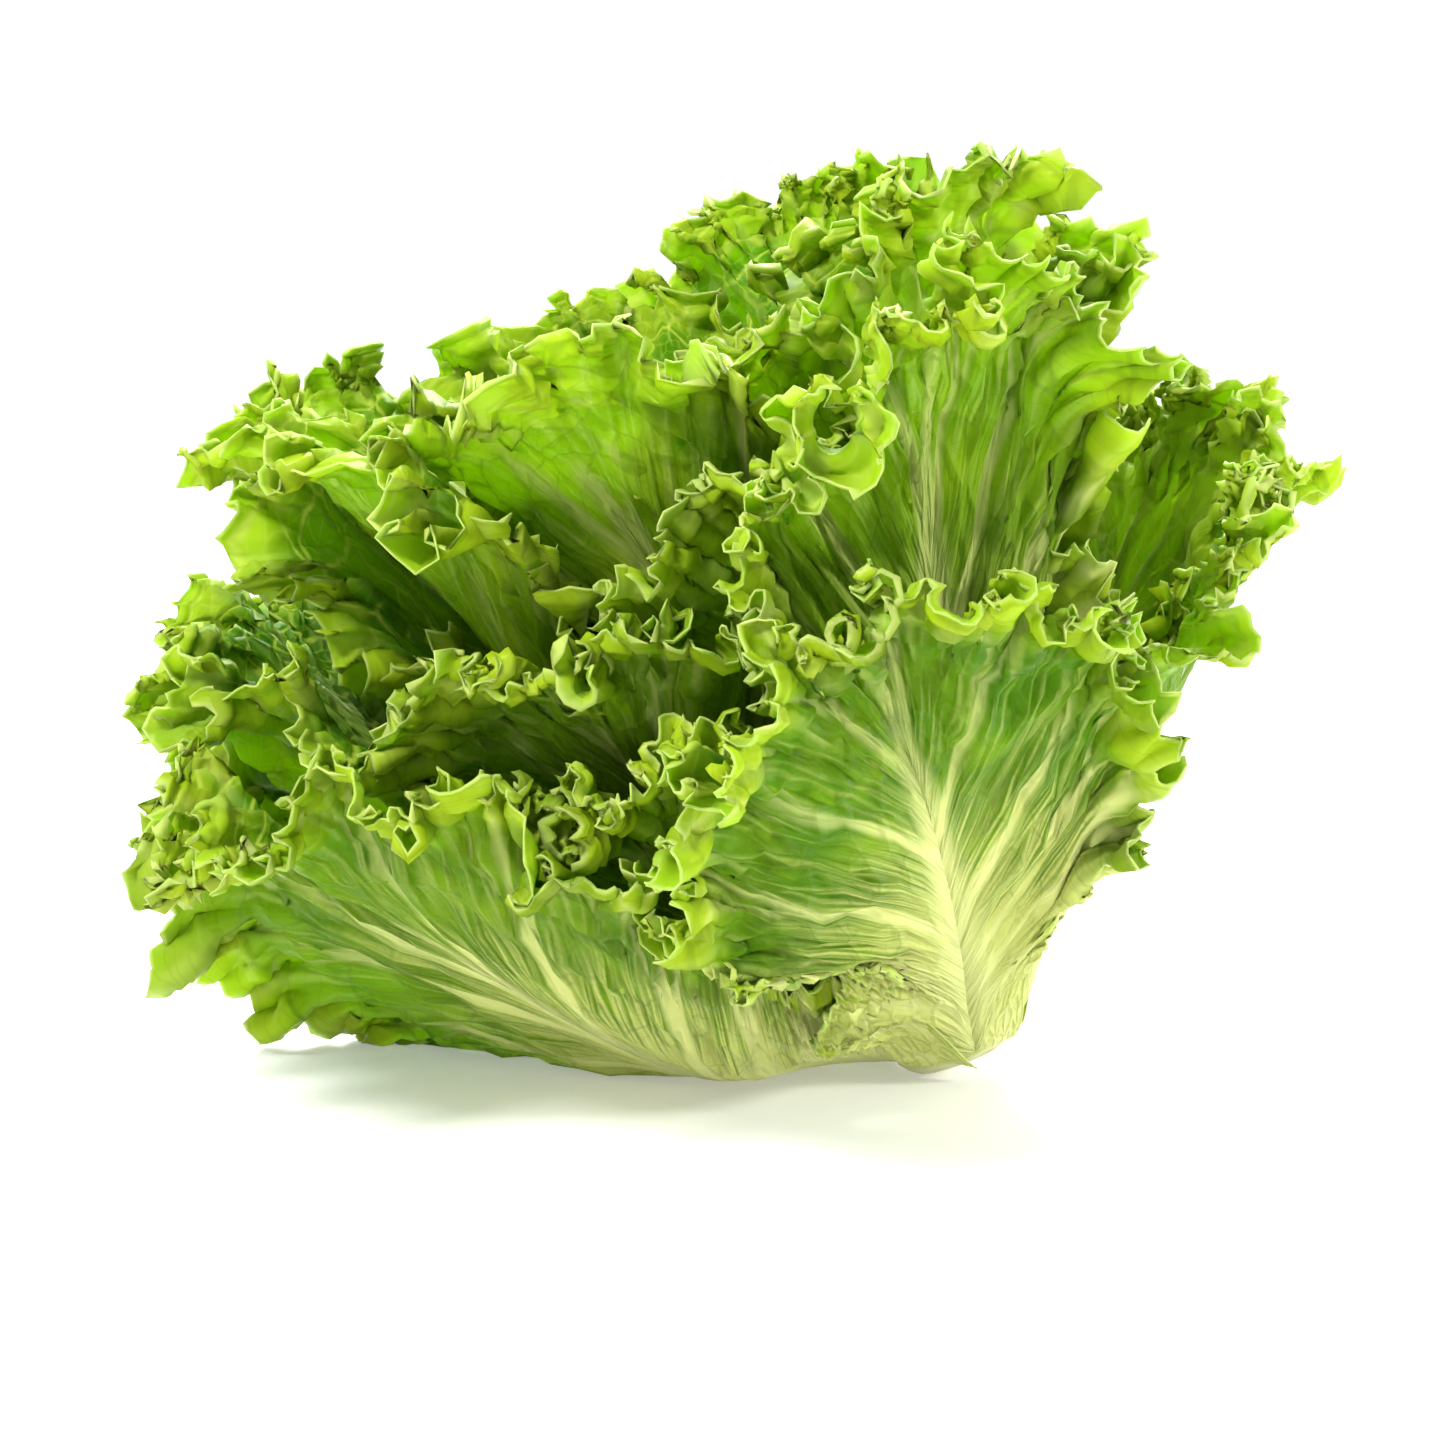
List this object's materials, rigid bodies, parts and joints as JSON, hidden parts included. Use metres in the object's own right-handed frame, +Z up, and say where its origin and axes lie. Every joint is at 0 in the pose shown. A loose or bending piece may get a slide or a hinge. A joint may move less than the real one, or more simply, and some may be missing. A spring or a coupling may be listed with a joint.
{
  "type": "green leaf lettuce head",
  "caption": "Head of loose green leaf lettuce lying on its side, with frilled ribbed leaves round a short cut stem.",
  "frame": {"origin": "on the surface the head rests on, below the middle of its bounding box", "axes": "+X from the leaf tips towards the cut stem, along the head's longest side; +Y to the back as seen in the picture; +Z up"},
  "size_m": [0.2924, 0.269, 0.2402],
  "materials": {
    "leaf": "fresh lettuce leaf: lime to deep green, satin, let light through, with pale ribs and a net of veins",
    "stem": "fresh cut lettuce stem: pale cream green, damp, a little browned at the cut face"
  },
  "bodies": {
    "root": {"stem": "stem", "leaf_01": "leaf", "leaf_02": "leaf", "leaf_03": "leaf", "leaf_04": "leaf", "leaf_05": "leaf", "leaf_06": "leaf", "leaf_07": "leaf", "leaf_08": "leaf", "leaf_09": "leaf", "leaf_10": "leaf", "leaf_11": "leaf", "leaf_12": "leaf", "leaf_13": "leaf", "leaf_14": "leaf", "leaf_15": "leaf", "leaf_16": "leaf", "leaf_17": "leaf", "leaf_18": "leaf", "leaf_19": "leaf", "leaf_20": "leaf", "leaf_21": "leaf", "leaf_22": "leaf", "leaf_23": "leaf", "leaf_24": "leaf"}
  },
  "joints": []
}
